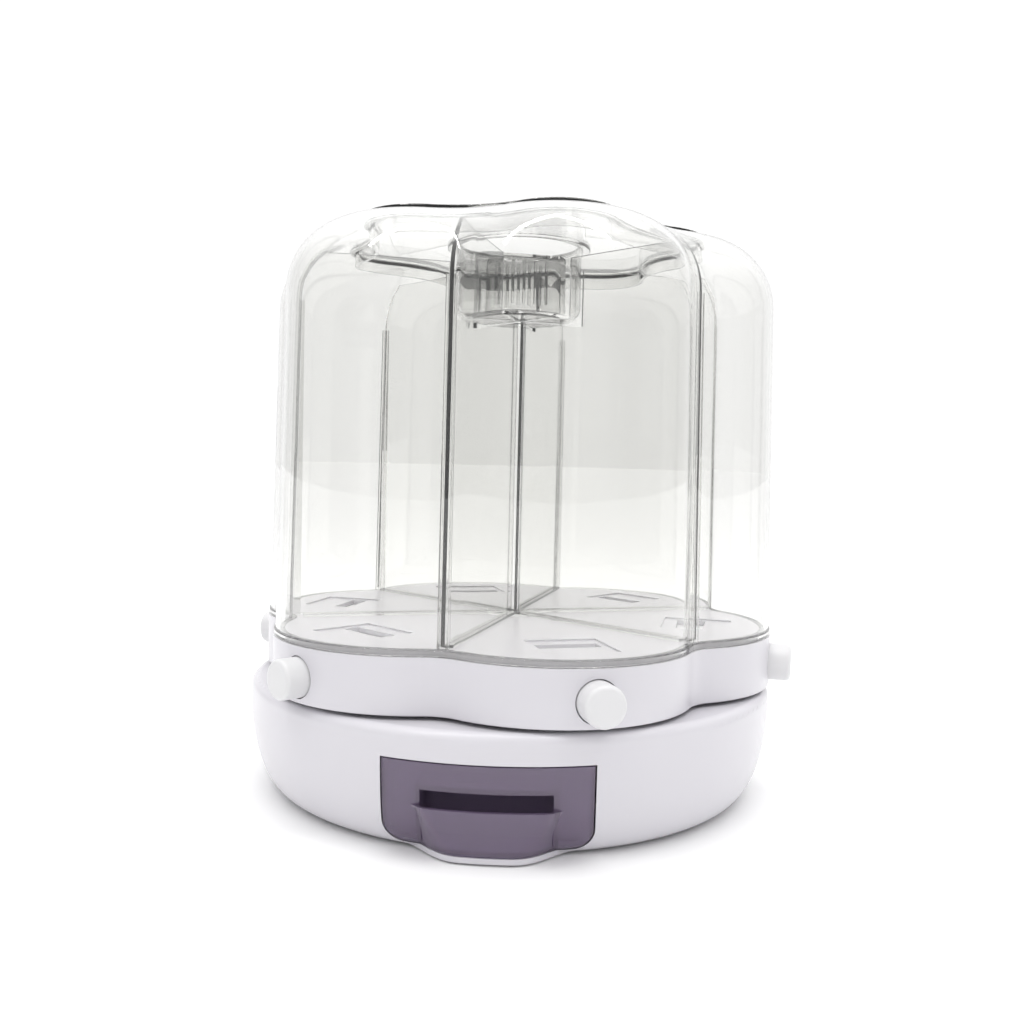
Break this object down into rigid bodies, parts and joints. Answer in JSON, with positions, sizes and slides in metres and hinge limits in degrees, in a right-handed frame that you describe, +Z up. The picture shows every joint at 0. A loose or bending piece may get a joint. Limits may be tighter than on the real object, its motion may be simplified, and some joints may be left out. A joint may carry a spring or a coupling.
{
  "type": "rotating dry-food dispenser",
  "caption": "Round countertop dispenser with a clear lobed turning canister, push-button floor hatches, lift-off lid and a front collecting drawer.",
  "frame": {"origin": "on the floor under the spindle, at the middle of the base", "axes": "+Z up along the spindle, -Y towards the drawer's front, +X to the right of the drawer"},
  "size_m": [0.3318, 0.321, 0.3246],
  "materials": {
    "white_shell": "glossy moulded white ABS with a faint lavender cast",
    "white_button": "white ABS, satin face",
    "white_inner": "plain moulded white",
    "clear_shell": "clear moulded styrene, slightly warm",
    "smoke_clear": "smoky violet translucent plastic",
    "foot_rubber": "soft grey rubber",
    "seal_rubber": "translucent silicone",
    "glide_nylon": "natural nylon",
    "screw_steel": "zinc-plated steel",
    "spindle_steel": "turned steel",
    "spring_steel": "spring wire",
    "bush_brass": "sintered bronze"
  },
  "bodies": {
    "base": {"base_shell": "white_shell", "base_plate": "white_inner", "rubber_feet": "foot_rubber", "base_plate_screws": "screw_steel", "turntable_deck": "white_inner", "deck_screws": "screw_steel", "glide_pads": "glide_nylon", "spindle": "spindle_steel", "spindle_washer": "screw_steel", "spindle_screw": "screw_steel", "drawer_runner_left": "white_inner", "drawer_runner_right": "white_inner", "runner_screws": "screw_steel"},
    "drawer": {"drawer_front": "smoke_clear", "drawer_tray": "smoke_clear"},
    "carousel": {"carousel_tray": "white_shell", "carousel_underplate": "white_inner", "underplate_screws": "screw_steel", "hub_bush": "bush_brass", "hub_cap": "white_inner", "canister": "clear_shell", "partition": "clear_shell", "button_spring_1": "spring_steel", "button_spring_2": "spring_steel", "button_spring_3": "spring_steel", "button_spring_4": "spring_steel", "button_spring_5": "spring_steel", "button_spring_6": "spring_steel"},
    "lid": {"lid_panel": "clear_shell", "lid_seal": "seal_rubber", "lid_cup": "clear_shell", "lid_grip": "clear_shell"},
    "button_1": {"button_1": "white_button", "shutter_1": "white_inner"},
    "button_2": {"button_2": "white_button", "shutter_2": "white_inner"},
    "button_3": {"button_3": "white_button", "shutter_3": "white_inner"},
    "button_4": {"button_4": "white_button", "shutter_4": "white_inner"},
    "button_5": {"button_5": "white_button", "shutter_5": "white_inner"},
    "button_6": {"button_6": "white_button", "shutter_6": "white_inner"}
  },
  "joints": [
    {"name": "carousel_turn", "type": "hinge", "parent": "base", "child": "carousel", "pos_m": [0, 0, 0.0615], "axis": [0, 0, 1], "continuous": true},
    {"name": "drawer_slide", "type": "slide", "parent": "base", "child": "drawer", "axis": [0, -1, 0], "range_m": [0, 0.085]},
    {"name": "lid_lift", "type": "slide", "parent": "carousel", "child": "lid", "axis": [0, 0, 1], "range_m": [0, 0.12]},
    {"name": "button_1_press", "type": "slide", "parent": "carousel", "child": "button_1", "axis": [-0.3322, 0.9432, 0], "range_m": [0, 0.01], "stiffness_N_per_m": 300, "springref_m": -0.004, "deforming": ["button_spring_1"]},
    {"name": "button_2_press", "type": "slide", "parent": "carousel", "child": "button_2", "axis": [-0.9829, 0.184, 0], "range_m": [0, 0.01], "stiffness_N_per_m": 300, "springref_m": -0.004, "deforming": ["button_spring_2"]},
    {"name": "button_3_press", "type": "slide", "parent": "carousel", "child": "button_3", "axis": [-0.6508, -0.7593, 0], "range_m": [0, 0.01], "stiffness_N_per_m": 300, "springref_m": -0.004, "deforming": ["button_spring_3"]},
    {"name": "button_4_press", "type": "slide", "parent": "carousel", "child": "button_4", "axis": [0.3322, -0.9432, 0], "range_m": [0, 0.01], "stiffness_N_per_m": 300, "springref_m": -0.004, "deforming": ["button_spring_4"]},
    {"name": "button_5_press", "type": "slide", "parent": "carousel", "child": "button_5", "axis": [0.9829, -0.184, 0], "range_m": [0, 0.01], "stiffness_N_per_m": 300, "springref_m": -0.004, "deforming": ["button_spring_5"]},
    {"name": "button_6_press", "type": "slide", "parent": "carousel", "child": "button_6", "axis": [0.6508, 0.7593, 0], "range_m": [0, 0.01], "stiffness_N_per_m": 300, "springref_m": -0.004, "deforming": ["button_spring_6"]}
  ]
}
